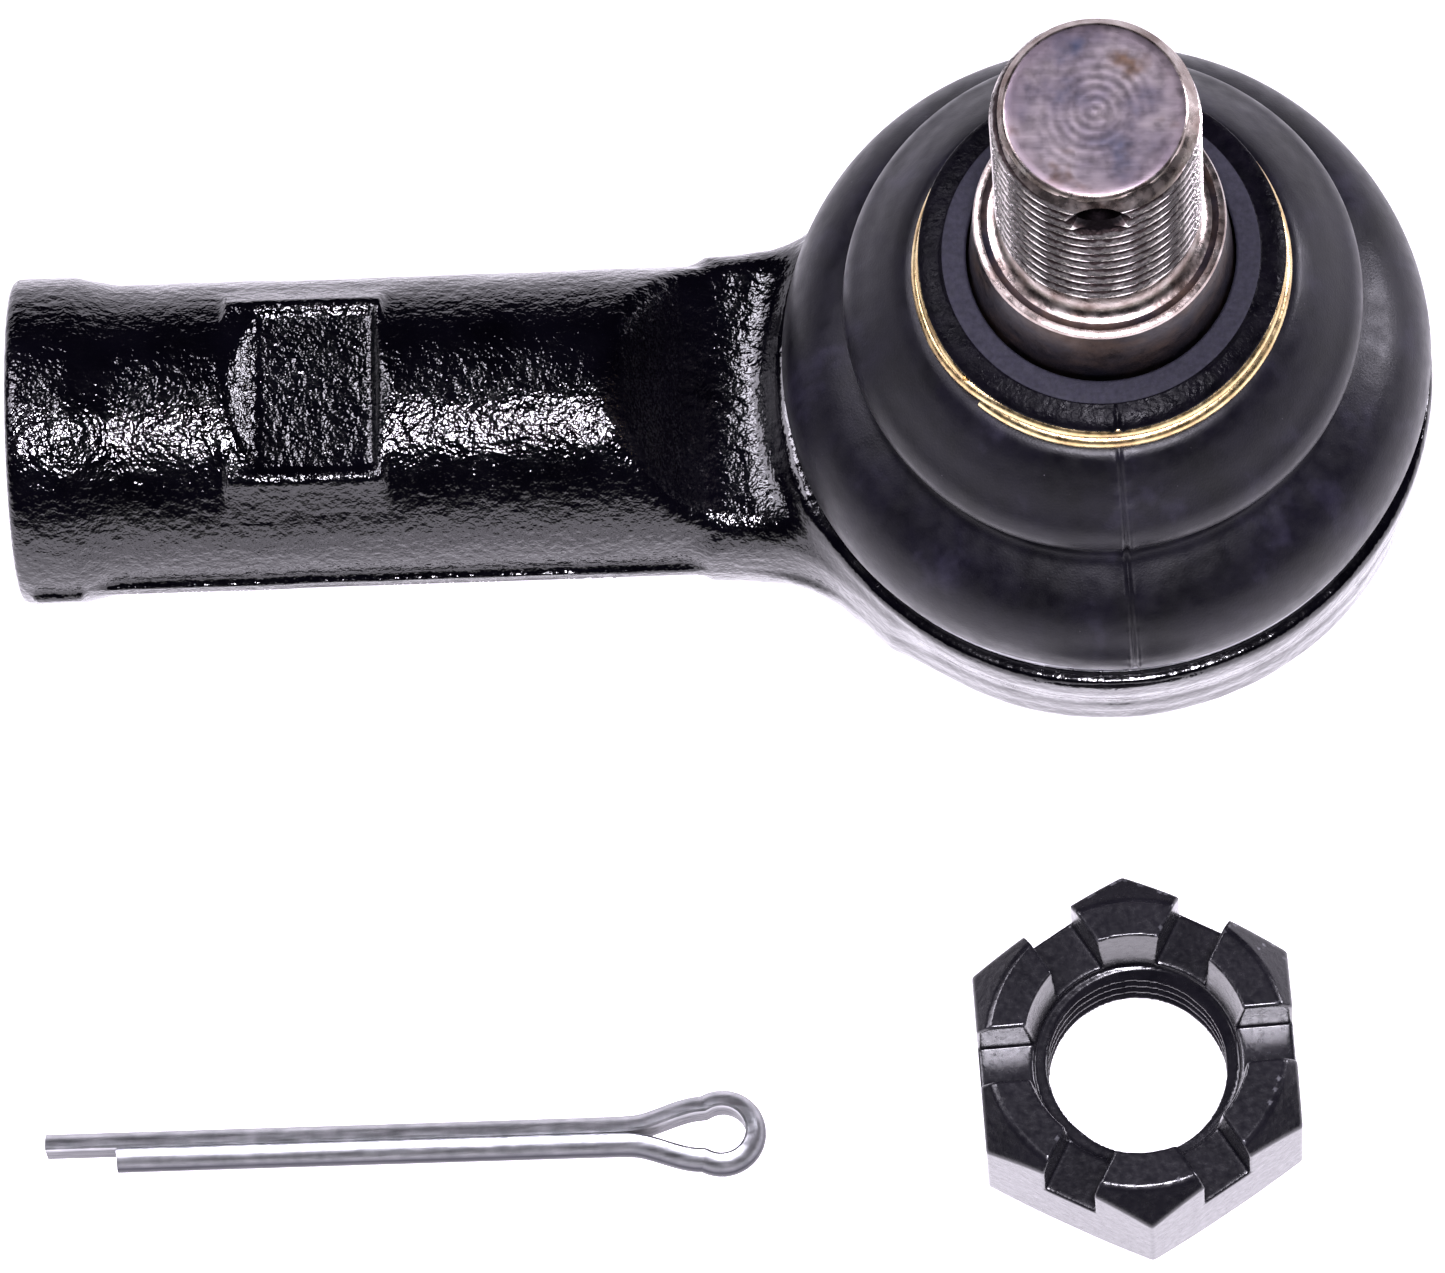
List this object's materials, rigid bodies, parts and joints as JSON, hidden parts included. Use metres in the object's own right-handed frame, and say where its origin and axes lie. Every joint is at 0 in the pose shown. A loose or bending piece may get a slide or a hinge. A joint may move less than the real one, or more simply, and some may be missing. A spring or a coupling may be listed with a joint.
{
  "type": "tie rod end",
  "caption": "Ball joint end for a steering tie rod: forged socket with a threaded shank, tapered stud under a two-bellows rubber boot, with its castle nut and cotter pin lying loose.",
  "frame": {"origin": "on the base plane that the socket rests on, straight under the centre of the ball", "axes": "+Z along the stud, away from the socket; -X along the shank, out of its threaded end; +Y completes the frame"},
  "size_m": [0.0992, 0.0809, 0.0766],
  "materials": {
    "black_paint": "gloss black paint over a rough forged skin",
    "seat_plastic": "natural moulded",
    "spring_steel": "oiled",
    "seal_rubber": "matte",
    "cover_steel": "satin",
    "boot_rubber": "matte with a soft sheen",
    "yellow_plated_wire": "yellow zinc plated",
    "stud_steel": "bare, heat tinted",
    "black_oxide": "glossy black oxide",
    "zinc_wire": "bright zinc plated"
  },
  "bodies": {
    "housing": {"housing": "black_paint", "upper_bearing_seat": "seat_plastic", "lower_bearing_seat": "seat_plastic", "preload_spring": "spring_steel", "cover_seal": "seal_rubber", "end_cover": "cover_steel", "boot_base_ring": "spring_steel"},
    "boot": {"dust_boot": "boot_rubber"},
    "neck_ring": {"boot_neck_ring": "yellow_plated_wire"},
    "stud": {"ball_stud": "stud_steel"},
    "nut": {"castle_nut": "black_oxide"},
    "pin": {"cotter_pin": "zinc_wire"}
  },
  "joints": [
    {"name": "swing_fore_aft", "type": "hinge", "parent": "housing", "child": "boot", "pos_m": [0, 0, 0.015], "axis": [0, 1, 0], "range_deg": [-22, 22], "deforming": ["dust_boot"]},
    {"name": "swing_side", "type": "hinge", "parent": "boot", "child": "neck_ring", "pos_m": [0, 0, 0.015], "axis": [1, 0, 0], "range_deg": [-22, 22], "deforming": ["dust_boot"]},
    {"name": "stud_spin", "type": "hinge", "parent": "neck_ring", "child": "stud", "pos_m": [0, 0, 0.015], "axis": [0, 0, 1], "continuous": true},
    {"name": "nut_lift", "type": "slide", "parent": "housing", "child": "nut", "axis": [0, 0, 1], "range_m": [0, 0.03]},
    {"name": "pin_lift", "type": "slide", "parent": "housing", "child": "pin", "axis": [0, 0, 1], "range_m": [0, 0.03]}
  ]
}
